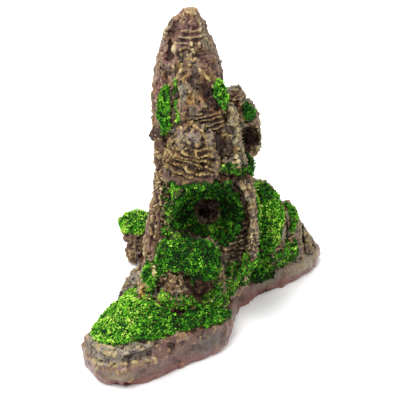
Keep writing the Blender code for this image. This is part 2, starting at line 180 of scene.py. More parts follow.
class Casting:
    """A rock whose skin is carved by pushing its points out or in, by millimetres, and then painted."""

    def __init__(self, name, fineness=0.5, ease=8, swell=0.1):
        self.name = name
        self.mesh = casting_mesh(name, fineness, ease)
        self.points = read_points(self.mesh) / MM
        edges = np.empty(len(self.mesh.edges) * 2, np.int32)
        self.mesh.edges.foreach_get("vertices", edges)
        self.edges = edges.reshape(-1, 2)
        self.normals = read_points(self.mesh, "vertex_normals", "vector")
        self.paint = np.tile(linear("#7b6457"), (len(self.points), 1))
        self.push(swell)
        ROCKS[name] = self

    def push(self, depth):
        """Moves the skin out by a depth in mm, one for all points or one each."""
        self.points = self.points + self.normals * np.broadcast_to(depth, len(self.points))[:, None]
        self.mesh.vertices.foreach_set("co", (self.points * MM).astype(np.float32).ravel())
        self.mesh.update()
        self.normals = read_points(self.mesh, "vertex_normals", "vector")

    def evened(self, values, times):
        """Each point's values evened out with those of the points round it, so many times over."""
        a, b = self.edges.T
        count = np.bincount(self.edges.ravel(), minlength=len(values))
        for _ in range(times):
            evened = [(v + np.bincount(a, v[b], len(v)) + np.bincount(b, v[a], len(v))) / (1 + count)
                      for v in values.T]
            values = np.stack(evened, axis=1)
        return values

    def coat(self, colour, share=1.0):
        """Sprays a colour over the whole rock, or by a share for each point."""
        share = np.broadcast_to(share, len(self.points))[:, None]
        self.paint = self.paint + (linear(colour) - self.paint) * share

    def ease(self, share, times):
        """Smooths the rock where the share is 1, as a worn or filled place is."""
        share = np.broadcast_to(share, len(self.points))[:, None]
        self.points = self.points + (self.evened(self.points, times) - self.points) * share
        self.push(0)

    def stroke(self, path, width, depth, colour=None, share=0.7):
        """Raises a ridge along a path, or cuts a groove, and paints it."""
        mark = along(bent(self.points, 0.9, 3.0, 9), path, width)
        if depth:
            self.push(depth * mark * (1 + 0.5 * lumps(self.points, 4, 10, 2)))
        if colour:
            worn = smooth(-0.5, 0.1, lumps(self.points, 3, 16, 2))
            self.coat(colour, share * smooth(0.05, 0.7, mark) * worn)

    def weather(self, grain=(3.4, 3.4, 7.0), deep=1.5, porous=0.6, broad=1.0):
        """The mould's own rock texture: one pattern through all the rocks, so that they run into each other.

        broad is for its lumps and crests of about 10 mm, grain for the size of its ragged hollows, deep for
        their depth, and porous for the depth of its round pores.
        """
        self.push(broad * (lumps(self.points, 12, 1) - 0.3))
        self.push(1.9 * broad * (crests(bent(self.points, 2.5, 9, 2), (7, 7, 10), 3) - 0.6))
        grain = np.array(grain)
        self.push(-deep * smooth(0.02, 0.42, lumps(bent(self.points, 1.3, 3, 4), grain * 1.1, 5)))
        self.push(0.7 * veins(bent(self.points, 0.8, 2.5, 8), grain * 1.2, 6, 0.09))
        self.push(0.35 * veins(self.points, grain * 0.7, 8, 0.1))
        self.push(-porous * pores(bent(self.points, 0.5, 2, 6), 2.4, 6, 0.35))
        self.push(0.16 * lumps(self.points, 1.4, 7, 2))

    def tint(self, base="#7f6658", grey=0.6, umber=0.75, rose=0.6, ochre=0.4):
        """The air-brushed colours that lie over each other in soft patches."""
        self.coat(base)
        self.coat("#8f8a76", grey * smooth(0.0, 0.35, lumps(self.points, 9, 11)))
        self.coat("#573a28", umber * smooth(0.0, 0.35, lumps(self.points, 6, 12)))
        self.coat("#8a5a55", rose * smooth(0.05, 0.35, lumps(self.points, 8, 13)))
        self.coat("#ad8840", ochre * smooth(0.1, 0.4, lumps(self.points, 5, 14)))

    def finish(self, material):
        """Stores what the paint reads, and puts the rock in place of its CAD node."""
        self.points[:, 2] = np.maximum(self.points[:, 2], 0)
        self.push(0)

        # How far a point stands out from the skin within about 1 mm of it, and within about 3 mm.
        fine = self.points - self.evened(self.points, 7)
        coarse = self.points - self.evened(self.points, 50)
        relief = ((1.2 * fine + 0.3 * coarse) * self.evened(self.normals, 2)).sum(axis=1)
        stored = self.mesh.attributes.new("relief", "FLOAT", "POINT")
        stored.data.foreach_set("value", relief.astype(np.float32))
        colours = np.concatenate([self.paint, np.ones((len(self.paint), 1))], axis=1)
        stored = self.mesh.attributes.new("paint", "FLOAT_COLOR", "POINT")
        stored.data.foreach_set("color", colours.astype(np.float32).ravel())
        self.mesh.materials.clear()
        self.mesh.materials.append(material)
        self.mesh.shade_smooth()
        piece = bpy.data.objects.new(self.name + "_rock", self.mesh)
        bpy.context.scene.collection.objects.link(piece)
        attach(piece, "root")
        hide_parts(self.name)


def add(tree, kind, inputs=(), **settings):
    """A shader node with its settings, and its inputs' values or links."""
    made = tree.nodes.new(kind)
    for name, value in settings.items():
        setattr(made, name, value)
    for socket, value in dict(inputs).items():
        if isinstance(value, bpy.types.NodeSocket):
            tree.links.new(value, made.inputs[socket])
        else:
            made.inputs[socket].default_value = value
    return made


def painted_resin(name, wash, ridge, crest, brushed=1.0, roughness=0.55, varnish=0.05, fine=1.0, fold=0.45):
    """Cast polyester resin, air-brushed, washed dark in its hollows, and dry-brushed on its ridges.

    The eye sees dark cracks, pale edges and a dull sheen. The air-brushed colour is the rock's own "paint".
    "relief" says how far a point stands out, in mm. fine is the strength of the veins and pits that the mesh
    is too coarse for, and a fold under 1 draws them out upwards.
    """
    made = bpy.data.materials.new(name)
    made.use_nodes = True
    tree = made.node_tree
    shader = tree.nodes["Principled BSDF"]
    place = add(tree, "ShaderNodeTexCoord").outputs["Object"]
    paint = add(tree, "ShaderNodeAttribute", attribute_name="paint").outputs["Color"]
    relief = add(tree, "ShaderNodeAttribute", attribute_name="relief").outputs["Fac"]

    # Pigment that gathered in grains of under 1 mm, and in blotches of about 3 mm.
    grain = add(tree, "ShaderNodeTexNoise", {
        "Vector": place, "Scale": 1 / (1.1 * MM), "Detail": 4}).outputs["Fac"]
    mottle = add(tree, "ShaderNodeTexNoise", {
        "Vector": place, "Scale": 1 / (3.2 * MM), "Detail": 3}).outputs["Fac"]
    shade = add(tree, "ShaderNodeMapRange", {
        "Value": grain, "From Min": 0.3, "From Max": 0.7, "To Min": 0.58, "To Max": 1.08}).outputs["Result"]
    flesh = add(tree, "ShaderNodeVectorMath", {
        0: paint, "Scale": shade}, operation="SCALE").outputs["Vector"]

    # Thin veins and ragged pits, too fine for the mesh: they stand 0.3 mm up, or lie 0.5 mm down.
    drift = add(tree, "ShaderNodeTexNoise", {
        "Vector": place, "Scale": 1 / (2.6 * MM), "Detail": 2}).outputs["Color"]
    drift = add(tree, "ShaderNodeVectorMath", {
        0: drift, "Scale": 2.0 * MM}, operation="SCALE").outputs["Vector"]
    warped = add(tree, "ShaderNodeVectorMath", {0: place, 1: drift}, operation="ADD").outputs["Vector"]
    warped = add(tree, "ShaderNodeVectorMath", {
        0: warped, 1: (1.0, 1.0, fold)}, operation="MULTIPLY").outputs["Vector"]
    swirl = add(tree, "ShaderNodeTexNoise", {
        "Vector": warped, "Scale": 1 / (3.0 * MM), "Detail": 1}).outputs["Fac"]
    swirl = add(tree, "ShaderNodeMath", {0: swirl, 1: 0.5}, operation="SUBTRACT").outputs["Value"]
    swirl = add(tree, "ShaderNodeMath", {0: swirl}, operation="ABSOLUTE").outputs["Value"]
    vein = add(tree, "ShaderNodeMapRange", {
        "Value": swirl, "From Min": 0.0, "From Max": 0.035, "To Min": 0.36 * fine, "To Max": 0.0},
        interpolation_type="SMOOTHSTEP").outputs["Result"]
    pit = add(tree, "ShaderNodeTexNoise", {
        "Vector": warped, "Scale": 1 / (1.9 * MM), "Detail": 3}).outputs["Fac"]
    pit = add(tree, "ShaderNodeMapRange", {
        "Value": pit, "From Min": 0.5, "From Max": 0.36, "To Min": 0.0, "To Max": -0.6 * fine},
        interpolation_type="SMOOTHSTEP").outputs["Result"]
    folds = add(tree, "ShaderNodeMath", {0: vein, 1: pit}, operation="ADD").outputs["Value"]
    relief = add(tree, "ShaderNodeMath", {0: relief, 1: folds}, operation="ADD").outputs["Value"]
    speck = add(tree, "ShaderNodeMapRange", {
        "Value": grain, "From Min": 0.3, "From Max": 0.7, "To Min": -0.1, "To Max": 0.1}).outputs["Result"]
    relief = add(tree, "ShaderNodeMath", {0: relief, 1: speck}, operation="ADD").outputs["Value"]

    # The wash ran into what lies lower than its surroundings.
    hollow = add(tree, "ShaderNodeMapRange", {
        "Value": relief, "From Min": 0.0, "From Max": -0.65, "To Min": 0.0, "To Max": 0.95},
        interpolation_type="SMOOTHSTEP").outputs["Result"]
    washed = add(tree, "ShaderNodeMix", {
        "Factor": hollow, "A": flesh, "B": (*linear(wash), 1)}, data_type="RGBA").outputs["Result"]

    # The brush touched what stands higher, and missed some of it.
    missed = add(tree, "ShaderNodeMapRange", {
        "Value": mottle, "From Min": 0.36, "From Max": 0.6, "To Min": 0.15, "To Max": 1.0}).outputs["Result"]
    proud = add(tree, "ShaderNodeMapRange", {
        "Value": relief, "From Min": 0.2, "From Max": 0.55, "To Min": 0.0, "To Max": 0.75 * brushed},
        interpolation_type="SMOOTHSTEP").outputs["Result"]
    touched = add(tree, "ShaderNodeMath", {0: proud, 1: missed}, operation="MULTIPLY").outputs["Value"]
    brushed_on = add(tree, "ShaderNodeMix", {
        "Factor": touched, "A": washed, "B": (*linear(ridge), 1)}, data_type="RGBA").outputs["Result"]
    sharp = add(tree, "ShaderNodeMapRange", {
        "Value": relief, "From Min": 0.55, "From Max": 1.1, "To Min": 0.0, "To Max": 0.65 * brushed}
    ).outputs["Result"]
    tipped = add(tree, "ShaderNodeMix", {
        "Factor": sharp, "A": brushed_on, "B": (*linear(crest), 1)}, data_type="RGBA").outputs["Result"]
    tree.links.new(tipped, shader.inputs["Base Color"])

    low, high = roughness - 0.12, roughness + 0.12
    gloss = add(tree, "ShaderNodeMapRange", {
        "Value": mottle, "From Min": 0.3, "From Max": 0.7, "To Min": low, "To Max": high}).outputs["Result"]
    tree.links.new(gloss, shader.inputs["Roughness"])
    height = add(tree, "ShaderNodeMath", {0: folds, 1: speck}, operation="ADD").outputs["Value"]
    bump = add(tree, "ShaderNodeBump", {"Height": height, "Strength": 0.8, "Distance": 0.8 * MM})
    tree.links.new(bump.outputs["Normal"], shader.inputs["Normal"])
    shader.inputs["IOR"].default_value = 1.52
    shader.inputs["Specular IOR Level"].default_value = 0.35
    shader.inputs["Coat Weight"].default_value = varnish
    shader.inputs["Coat Roughness"].default_value = 0.25
    return made


foot_resin = painted_resin("varnished_foot_resin", "#3a2119", "#a08650", "#c2ac72", brushed=0.55,
                           roughness=0.38, varnish=0.4, fine=0.3, fold=1.0)

# The shelf drops a little towards the left, and the wall above it is set back.
SHELF_HEIGHT = 14.5
SHELF_SLOPE = 0.14
SHELF_SETBACK = 2.8

foot = Casting("base_slab", fineness=0.6)
x, y, z = foot.points.T
wall = 1 - smooth(0.35, 0.8, np.abs(foot.normals[:, 2]))
shelf = SHELF_HEIGHT + SHELF_SLOPE * np.clip(x + 32, -30, 0)
front = smooth(-21, -29, x) * smooth(-22, -34, y)
foot.push(wall * front * (0.4 - SHELF_SETBACK * smooth(-1.5, 1.5, z - shelf)))
foot.push(1.4 * (lumps(foot.points, 14, 1) - 0.3) + 0.6 * lumps(foot.points, 6, 2))
foot.push(1.5 * (crests(bent(foot.points, 2.5, 8, 3), (10, 10, 9), 4) - 0.55))
above = smooth(8, 13, foot.points[:, 2])
foot.push(-0.9 * above * smooth(0.1, 0.4, lumps(bent(foot.points, 1.3, 3, 4), (3.4, 3.4, 5), 5)))
foot.push(0.5 * above * veins(foot.points, 4, 6, 0.15))
foot.push(0.12 * lumps(foot.points, 1.8, 7, 2))
foot.coat("#6b4638")
foot.coat("#543729", 0.8 * smooth(0.0, 0.35, lumps(foot.points, 8, 12)))
foot.coat("#80594a", 0.5 * smooth(0.05, 0.4, lumps(foot.points, 11, 13)))
foot.coat("#858055", 0.7 * near(foot.points, (-40, -60, 8), (9, 6, 5)))
foot.coat("#51463d", 0.85 * near(foot.points, (2, -41, 9), (15, 9, 10)))
foot.coat("#7d443c", 0.85 * smooth(6.5, 1.0, foot.points[:, 2] + 2.0 * lumps(foot.points, 6, 15)))
foot.coat("#8a7f63", 0.8 * near(foot.points, (48, 30, 8), (14, 26, 9)) * smooth(3, 6, foot.points[:, 2]))
foot.coat("#6e6348", 0.75 * near(foot.points, (30, 12, 7), (14, 10, 5)) * smooth(3, 5, foot.points[:, 2]))
foot.coat("#857c69", 0.85 * front * smooth(-1.5, 1.0, foot.points[:, 2] - shelf))
foot.stroke([(-47, -55, 14.5), (-40, -58, 16), (-33, -58, 17)], 2.6, -0.4, "#80837a")
foot.stroke([(-58, -50, 11), (-50, -58, 12), (-42, -61, 13.5), (-33, -60, 14.5)], 1.5, 0.8, "#b09a5c")
foot.stroke([(-50, -52, 18), (-42, -57, 20), (-34, -57, 21), (-24, -52, 21)], 1.5, 0.8, "#b09a5c")
foot.stroke([(-25, -57, 14), (-22, -57, 9), (-22.5, -57, 4)], 1.3, 0.8, "#a58d4e")
foot.stroke([(-46, -61, 10), (-38, -62, 11), (-33, -61, 7), (-36, -62, 4)], 1.0, 0.4, "#93803f")
foot.stroke([(-16, -50, 15), (-17, -51, 9), (-14, -49, 4)], 3.2, -1.0, "#6e3c35", 0.6)
foot.stroke([(-12, -48, 9), (-11, -49, 4)], 1.2, 0.8, "#a89254")
foot.stroke([(-7, -45, 10), (0, -43, 7)], 2.2, -1.0, "#3d2a24")
foot.stroke([(-9, -46, 16), (0, -42, 15), (8, -37, 13)], 1.4, 0.7, "#9b8a58")
foot.finish(foot_resin)

# --------------------------------------------------------------------------------------------------
# Cave body: the resin casting that the grotto is in, poured hollow and glued to the foot. Its left flank is
# a net of upright folds with ochre edges, and its lower right is bare dark rock in thin layers.

crag_resin = painted_resin("mauve_brown_resin", "#33190f", "#9d8358", "#cbb88e")

body = Casting("main_crag", fineness=0.55)
body.weather(grain=(3.0, 3.0, 8.0), deep=1.7, porous=0.4, broad=0.8)
layered = near(body.points, (14, -8, 45), (10, 12, 20))
body.push(layered * (1.6 * ribs(body.points, 2.6, 15) ** 2 - 0.8))
x, y, z = body.points.T
flank = smooth(-16, -20, x) * smooth(30, 44, z) * smooth(12, 4, y)
folds = veins(bent(body.points, 1.5, 5, 19), (3.2, 3.2, 11), 17, 0.13)
body.push(flank * (1.7 * folds - 0.9))
body.tint("#7b6152", rose=0.4)
body.coat("#5a3a22", 0.7 * flank)
body.coat("#b58f4e", 0.85 * flank * smooth(0.3, 0.8, folds))
body.coat("#45332a", 0.85 * layered)
body.coat("#57493b", 0.8 * near(body.points, (8, -14, 32), (9, 8, 14)))
body.stroke([(-23, 2, 99), (-25, 1, 90), (-24.5, 0, 82), (-26, 1, 74)], 1.3, 1.0, "#b08a40")
body.stroke([(-20.5, -9, 95), (-23, -6, 86), (-22.5, -5, 77), (-24, -3, 66), (-25.5, 0, 60)], 1.3, 1.1,
            "#b08a40")
body.stroke([(-24, -3, 60), (-25, -5, 50), (-27, -7, 41), (-27, -9, 32)], 1.2, 1.0, "#a09a86")
body.stroke([(-29, 3, 55), (-31, 8, 45), (-32, 9, 36)], 1.2, 1.0, "#a39a7c")
body.stroke([(-26.5, -0.6, 53), (-28.5, -1.7, 38)], 2.8, -1.8, "#43302b")
body.stroke([(-26, -3, 34), (-27.5, -5, 27)], 2.2, -1.5, "#3d2a24")
body.stroke([(14, -9, 44), (16, -11, 34), (14, -13, 28)], 1.1, 0.9, "#9a8b76")
body.stroke([(3.5, -13, 40), (5.5, -14, 31)], 1.4, 0.7, "#8f8f86")
# Painted shade: a near black spot in a shallow dent, where the small hole at the right is dark inside.
body.stroke([(19.5, -12.6, 43.5)], 2.2, -1.6, "#20150f", 1.0)
# Painted light: the inside of the cave mouth is coloured a lighter brown, so that it looks less dark in its
# own shade.
body.coat("#7c5b45", near(body.points, (-0.5, 8, 60), (8, 10, 10)))
body.finish(crag_resin)

# --------------------------------------------------------------------------------------------------
# Tall spire: a solid casting of mauve brown resin, stuck on top of the body. It has two pale upright ridges,
# thin level ribs between them like a ladder's rungs, and a deep smooth groove to their left.

spire = Casting("tall_spire", fineness=0.45)
spire.weather(grain=(3.4, 3.4, 7.5), deep=1.4, porous=0.35, broad=0.8)
ladder = np.maximum(near(spire.points, (-11.8, 9, 141), (4.8, 6, 8)),
                    near(spire.points, (-5.5, 9, 142), (4.6, 6, 7)))
hatched = near(spire.points, (-2, 6, 130), (8, 6, 7))
spire.ease(np.clip(ladder + hatched, 0, 1), 6)
rungs = ribs(spire.points, 2.6, 24, wander=0.4)
spire.push(ladder * (2.0 * rungs ** 1.5 - 1.4))
spire.push(hatched * (0.7 * ribs(spire.points, 1.6, 25, wander=0.6) - 0.5))
spire.push(0.6 * near(spire.points, (-18.5, 11, 141), (5, 7, 8)))
spire.tint("#80655a", rose=0.65)
spire.coat("#7c5852", 0.75 * ladder)
spire.coat("#a8977a", 0.7 * ladder * smooth(0.5, 0.9, rungs))
spire.coat("#7a4f42", 0.75 * hatched)
spire.coat("#8f8a70", 0.7 * near(spire.points, (-1, 10, 141), (4.5, 7, 8)))
spire.coat("#a2884f", 0.8 * near(spire.points, (-8, 12, 151), (7, 8, 4)))
spire.coat("#b0955a", 0.8 * near(spire.points, (2.5, 11, 138), (2.8, 8, 6)))
spire.coat("#874a34", 0.8 * near(spire.points, (-2.5, 5, 127), (4, 4, 2.4)))
spire.coat("#8a5a55", 0.75 * near(spire.points, (-21.5, 5, 116), (5, 7, 11)))
groove = along(spire.points, [(-14.2, 12, 147), (-17.0, 9.4, 139.4), (-18.0, 8.1, 132)], 3.8)
spire.ease(groove, 12)
spire.push(-2.8 * groove)
spire.coat("#65433f", 0.9 * smooth(0.2, 0.7, groove))
spire.stroke([(-13, 14, 149), (-17.5, 12, 145), (-20.3, 10.5, 139), (-20.8, 9, 132)], 1.7, 1.0, "#8c8c78")
spire.stroke([(-12.5, 11, 148), (-14, 9.5, 144), (-14.6, 8.7, 139), (-15.4, 7.5, 134.5)], 1.4, 1.8,
             "#c4b08c", 0.95)
spire.stroke([(-8, 10.6, 147), (-9.5, 8.3, 141.3), (-7.4, 6.4, 136), (-6, 5, 130)], 1.3, 1.8,
             "#bfb18c", 0.95)
spire.stroke([(-4.3, 14.5, 147), (-3.6, 9.7, 140.7), (-4.3, 7.0, 135.5)], 1.0, 0.8, "#aa9e78")
spire.stroke([(-16.4, 6.3, 132.6), (-16.4, 5.5, 128.9), (-14, 3.5, 126)], 1.1, 1.0, "#a5967a")
spire.stroke([(-20.2, 8.3, 131.5), (-21.5, 6.5, 122), (-20, 5, 114)], 1.2, 1.0, "#a89a80")
spire.stroke([(-23.7, 9.8, 125), (-24.5, 7, 116), (-24.8, 5, 108)], 1.2, 1.0, "#a39176")
spire.stroke([(-22.4, 7, 127), (-22.8, 6, 118)], 1.8, -1.4, "#5f4541")
spire.stroke([(-10.6, 6.3, 134.8)], 3.4, 0.3, "#b08f3c")
spire.stroke([(-13.5, 6.0, 133.0), (-12, 5.5, 130)], 1.8, -0.9, "#6f6d60")
# Painted shade: a near black spot in a shallow dent, for the shade inside a deep pit.
spire.stroke([(-7.1, 6.6, 137)], 1.5, -1.6, "#1d120c", 1.0)
spire.finish(crag_resin)

# --------------------------------------------------------------------------------------------------
# Middle crag and the boulder below it: umber resin castings, stuck to the body's front. The crag has a dark
# recess under a pale arch, and a stack of level ribs at its foot. The boulder is porous on top, with wavy
# ochre ribs round its belly and a smooth dark lip.

umber_resin = painted_resin("umber_resin", "#2c160b", "#9c7d42", "#c9b47c")

middle = Casting("middle_crag", fineness=0.45)
middle.weather(grain=(3.0, 3.0, 4.5), deep=1.5, porous=0.6, broad=0.8)
stack = near(middle.points, (-1, -8.5, 106), (13, 9, 8))
middle.ease(stack, 4)
slanting = ribs(bent(middle.points, 0.9, 3, 33), 2.2, 34, wander=0.5, across=(-0.2, 0, 1))
middle.push(stack * (2.2 * slanting ** 1.3 - 1.3))
middle.tint("#725946", rose=0.5)
middle.coat("#4b3624", 0.7 * stack)
middle.coat("#878678", 0.8 * near(middle.points, (-12, -2.5, 119), (4, 5, 7)))
middle.coat("#b08238", 0.8 * near(middle.points, (-8.5, -5.1, 117), (2.4, 4, 4)))
middle.coat("#565044", 0.8 * near(middle.points, (-7.7, -6.5, 111.5), (4.5, 4, 4.5)))
middle.coat("#8a4a30", 0.8 * near(middle.points, (2, -2, 128), (5, 4, 2)))
middle.coat("#45241d", 0.75 * near(middle.points, (0, -4, 120), (5.5, 6, 8)))
middle.coat("#5d3526", 0.7 * near(middle.points, (2, -5, 111), (7, 6, 4)))
middle.stroke([(-6.3, -3.0, 125.5), (-1.0, -4.6, 120.0), (3.6, -4.6, 115)], 4.6, -2.2, "#45221f")
middle.stroke([(-12.5, 1.0, 129), (-14, 1.5, 125), (-15, 1, 121)], 1.2, 1.0, "#9f9985")
middle.stroke([(-10.4, 0, 131), (-3.6, -0.7, 128.9), (0.8, -2.4, 124), (4.8, -3, 118), (7.6, -5.5, 113)],
              1.0, 0.8, "#98805a")
middle.stroke([(-10.6, -0.3, 128.1)], 1.6, -1.3, "#7a2c1a", 1.0)
middle.finish(umber_resin)

boulder = Casting("ribbed_boulder", fineness=0.45)
boulder.weather(grain=(3.2, 3.2, 3.8), deep=1.6, porous=0.7, broad=1.3)
rough = boulder.points
x, y, z = rough.T
crown = near(rough, (-10, -15, 102), (9, 9, 7))
belly = smooth(82.5, 85, z) * smooth(102, 96, z) * smooth(3.5, -0.5, x)
lip = smooth(84.5, 82.5, z)
boulder.ease(0.95 * belly, 8)
boulder.ease(lip, 8)
wavy = ribs(bent(rough, 2.4, 5, 42), 2.7, 43, wander=1.8, across=(0.25, 0, 1))
swollen = 0.6 + 0.6 * smooth(-0.3, 0.3, lumps(rough, 4, 46, 2))
boulder.push(belly * (2.5 * wavy ** 1.6 - 1.4) * swollen)
boulder.push(0.5 * belly * veins(boulder.points, (3.5, 3.5, 7), 45, 0.16))
boulder.tint("#6f5846")
boulder.coat("#8a8374", 0.75 * crown)
boulder.coat("#75645c", 0.7 * smooth(-1, 3, x) * smooth(83, 86, z))
boulder.coat("#5a3d26", 0.8 * belly)
boulder.coat("#9c7a3a", 0.65 * belly * smooth(0.5, 0.9, wavy))
boulder.coat("#5f4238", 0.9 * lip)
boulder.stroke([(-13, -10, 106), (-8, -11, 108), (-3.5, -12, 105.5), (-1, -13.5, 101.5)], 1.2, 0.8,
               "#b0a27c")
boulder.stroke([(-16.5, -13, 102), (-19, -13, 96), (-21.5, -11, 90)], 1.3, 1.2, "#b8883a")
boulder.stroke([(-13.5, -17, 98), (-17.5, -16, 91), (-18, -16, 86)], 1.2, 1.0, "#b0853c")
boulder.stroke([(-5.5, -16, 99.5), (-6, -17, 95)], 1.0, 0.8, "#b08c3c")
boulder.stroke([(0, -16, 99), (2.5, -17, 93), (1, -18, 87)], 1.1, 1.1, "#a89a80")
boulder.stroke([(5, -14, 99), (6.5, -15, 92)], 2.4, -1.2, "#4a382c")
boulder.finish(umber_resin)

# --------------------------------------------------------------------------------------------------
# Tan rocks: the shoulder, the fin beside the grotto, the bank, the alcove rock, the left step, the lower
# terrace and the corner rock. They are small resin castings, stuck to the body and the foot. They are porous
# and finely ribbed, with more ochre brushed on than the body has. The two at the end of the arm are calmer.

tan_resin = painted_resin("tan_resin", "#341d0c", "#a38a55", "#cebd8e")
CALM_ROCKS = ("lower_terrace", "corner_rock")

TAN_ROCKS = {
    "right_shoulder": ((3.4, 3.4, 4.2), "#80755c", [
        ([(9.3, -1.0, 112), (12.5, -4, 106), (13.5, -7, 98)], 1.8, 0.9, "#a89868"),
        ([(8.5, -6.5, 104), (9.5, -6, 102)], 2.6, -1.4, "#6b6a62"),
        ([(9, -9.5, 97), (11, -9.5, 93)], 2.8, -1.7, "#45301f"),
        ([(5.5, -9, 100), (7.5, -10.5, 92)], 1.3, 1.1, "#b3a070"),
        ([(12, -10, 92), (14, -11, 86)], 1.3, 1.0, "#9c9480"),
        ([(8, -13, 89), (10, -13, 85)], 2.4, -1.2, "#5f5140"),
        ([(5, -15, 80.5), (11, -13, 81), (15.5, -11, 79)], 1.8, 1.0, "#a08860"),
    ]),
    "right_fin": ((3.0, 3.0, 8.0), "#54443a", [
        ([(13.5, -8, 78), (16.5, -12, 74.5), (18.5, -15, 66), (19.5, -17, 57), (19, -17, 47),
          (17.5, -15, 38)], 1.2, 0.9, "#a59c8c"),
        ([(14, -9, 77.5), (12, -9, 78)], 2.6, 0.6, "#a98f66"),
        # Painted shade: a near black spot in a dent, where the small hole beside the fin is dark inside.
        ([(18.5, -15.5, 43.5)], 2.0, -1.6, "#20150f"),
    ]),
    "right_slope": ((3.8, 3.8, 3.8), "#6f5848", [([(23, 0, 31), (28, 3, 28)], 4.0, 0.4, "#7d4d3a")]),
    "alcove_rock": ((2.6, 2.6, 6.0), "#6b5138", [
        ([(-19.5, -28, 36), (-17, -30, 31), (-18, -30, 26)], 1.1, 1.0, "#b3925a"),
        ([(-15, -28.5, 37), (-12.5, -29.5, 31), (-13, -30, 27)], 1.1, 0.9, "#ac8c50"),
        ([(-10, -28, 36), (-8.5, -27.5, 30)], 1.1, 0.9, "#a58648"),
        ([(-17, -29, 35), (-15, -30.5, 29)], 1.6, -1.3, "#3d2618"),
    ]),
    "left_step": ((3.0, 3.0, 7.0), "#8d7c68", [
        ([(-29, -16.5, 36.5), (-28.8, -20.2, 34.5), (-29.8, -21.5, 30), (-31, -21.5, 22)], 3.0, 1.2,
         "#c07f1e", 0.9),
        ([(-26, -18.5, 36), (-26, -21.5, 33), (-28, -22.5, 28), (-30, -23, 20)], 2.2, 1.2, "#c28a2c", 0.9),
        ([(-27.5, -19.5, 35), (-28.5, -21.5, 29)], 1.4, -1.6, "#4a3120"),
        ([(-24, -21, 37.5), (-22, -21, 35)], 2.8, 0.3, "#cfc3a8"),
    ]),
    "lower_terrace": ((5.0, 5.0, 4.0), "#8a7c66", [([(45, 24, 38), (51, 32, 33)], 2.4, 0.6, "#b09a70")]),
    "corner_rock": ((5.0, 5.0, 3.6), "#8d846f", [
        ([(50, 30, 22), (56, 36, 18), (57, 42, 16)], 1.5, 0.9, "#c2b58c"),
    ]),
}
for name, (grain, colour, strokes) in TAN_ROCKS.items():
    rock = Casting(name, fineness=0.45)
    if name in CALM_ROCKS:
        rock.weather(grain=grain, deep=0.8, porous=0.3, broad=0.9)
    else:
        rock.weather(grain=grain, deep=1.5, porous=0.8, broad=0.7)
    rock.push(0.6 * (ribs(bent(rock.points, 1.2, 4, 52), 2.7, 51) - 0.4))
    rock.tint(colour, umber=0.55, rose=0.4)
    for stroke in strokes:
        rock.stroke(*stroke)
    rock.finish(tan_resin)

# --------------------------------------------------------------------------------------------------
# Brown rocks: the buttress, the upper terrace, the left ledge and the rear step. They are castings of the
# body's own mauve brown resin, stuck round it as steps, and turf covers most of their tops.

BROWN_ROCKS = {
    "buttress": ((3.4, 3.4, 5.5), "#614838", [
        ([(-9, -24, 33), (-3, -21, 26)], 4.5, -1.2, "#33241b"),
        ([(-21, -24, 37), (-18, -25, 28)], 1.4, 0.9, "#a78b5a"),
    ]),
    "upper_terrace": ((4.2, 4.2, 5.0), "#7d6a57", [
        ([(24, 14, 60), (27, 12, 58)], 2.6, 0.5, "#9a8f80"),
        ([(32, 20, 64), (37, 24, 58)], 3.0, 0.4, "#b28f60"),
    ]),
    "left_ledge": ((3.8, 3.8, 2.8), "#74503f", [
        ([(-45, 33, 14), (-36, 29, 13), (-30, 29, 14)], 3.0, -0.8, "#5b2f27"),
        ([(-43, 31, 8), (-36, 29, 6)], 3.6, 0.6, "#a48f64"),
    ]),
    "rear_step": ((4.4, 4.4, 6.0), "#766154", []),
}
for name, (grain, colour, strokes) in BROWN_ROCKS.items():
    rock = Casting(name, fineness=0.5)
    rock.weather(grain=grain, deep=1.5, porous=0.6, broad=0.8)
    rock.push(0.5 * (ribs(rock.points, 3.0, 61) - 0.4))
    rock.tint(colour)
    for stroke in strokes:
        rock.stroke(*stroke)
    rock.finish(crag_resin)

# --------------------------------------------------------------------------------------------------
# Grey rocks: the outcrop that overhangs at the right, with red-brown layers over a ring-shaped hollow, and
# the porous lump at the left. Both are castings of grey resin, stuck to the rest at one side.

grey_resin = painted_resin("grey_resin", "#241510", "#9c8a58", "#c3b588")

GREY_ROCKS = {
    "side_outcrop": ((4.0, 4.0, 4.5), "#6b6253", [
        ([(12, 21, 108), (14.4, 19, 104.5), (14, 18, 98)], 5.5, 0.0, "#6a3a28", 0.85),
        ([(14, 26, 108), (16.5, 23, 103), (20, 18, 97)], 1.8, 1.0, "#858576"),
        ([(23.5, 17, 93), (24.5, 16, 86), (22, 14, 80)], 2.0, 0.8, "#857c6c"),
        ([(24, 15, 78), (18, 14, 72), (14, 16, 68)], 4.5, 0.2, "#7c463d"),
        ([(20, 14.5, 86)], 2.2, 0.8, "#a3842f"),
    ]),
    "left_lump": ((3.4, 3.4, 3.8), "#8f8676", [([(-43, -2, 17), (-38, -5, 19)], 1.4, 0.7, "#b8a778")]),
}
for name, (grain, colour, strokes) in GREY_ROCKS.items():
    rock = Casting(name, fineness=0.45)
    rock.weather(grain=grain, deep=1.5, porous=0.7, broad=0.8)
    rock.push(0.7 * (ribs(rock.points, 2.1, 71) - 0.4))
    rock.tint(colour)
    for stroke in strokes:
        rock.stroke(*stroke)
    rock.finish(grey_resin)

# --------------------------------------------------------------------------------------------------
# Turf: crumbs of dyed foam of about 1 mm, sieved on to wet glue. Each pad is a thin bed of glue with its
# crumbs on it. They pile up in clumps, and thin out past the bed over the rock.

CRUMB_SIZE = 1.0
GREENS = ("#081603", "#15360a", "#286310", "#4d9a1e", "#8ecd38", "#cbe368")
BED_FINENESS = 0.7
BED_SINK = 1.1
BARE_SINK = 3.5
SEARCH_MARGIN = 9


